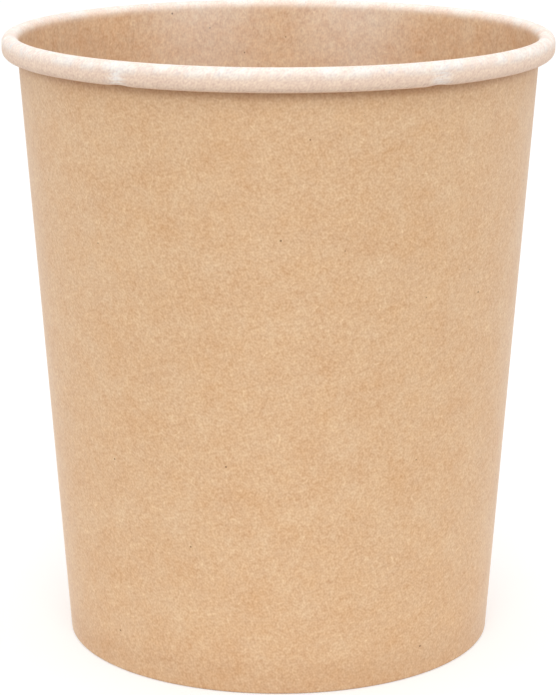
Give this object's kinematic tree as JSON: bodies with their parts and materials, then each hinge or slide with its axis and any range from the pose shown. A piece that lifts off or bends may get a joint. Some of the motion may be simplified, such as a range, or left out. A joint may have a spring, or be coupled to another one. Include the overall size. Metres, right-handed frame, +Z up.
{
  "type": "soup cup",
  "caption": "Open paper-board soup cup with a tapered kraft wall, a rolled rim and a recessed base in a folded foot; it stands on the foot and takes a press-on lid.",
  "frame": {"origin": "centre of the foot, in the plane it stands on", "axes": "+Z up along the cup's axis to the open rim; the side seam's cut edge is 4 degrees from +X toward +Y"},
  "size_m": [0.118, 0.118, 0.133],
  "materials": {
    "kraft_board": "matte",
    "base_board": "satin"
  },
  "bodies": {
    "root": {"side_wall": "kraft_board", "base_disc": "base_board"}
  },
  "joints": []
}
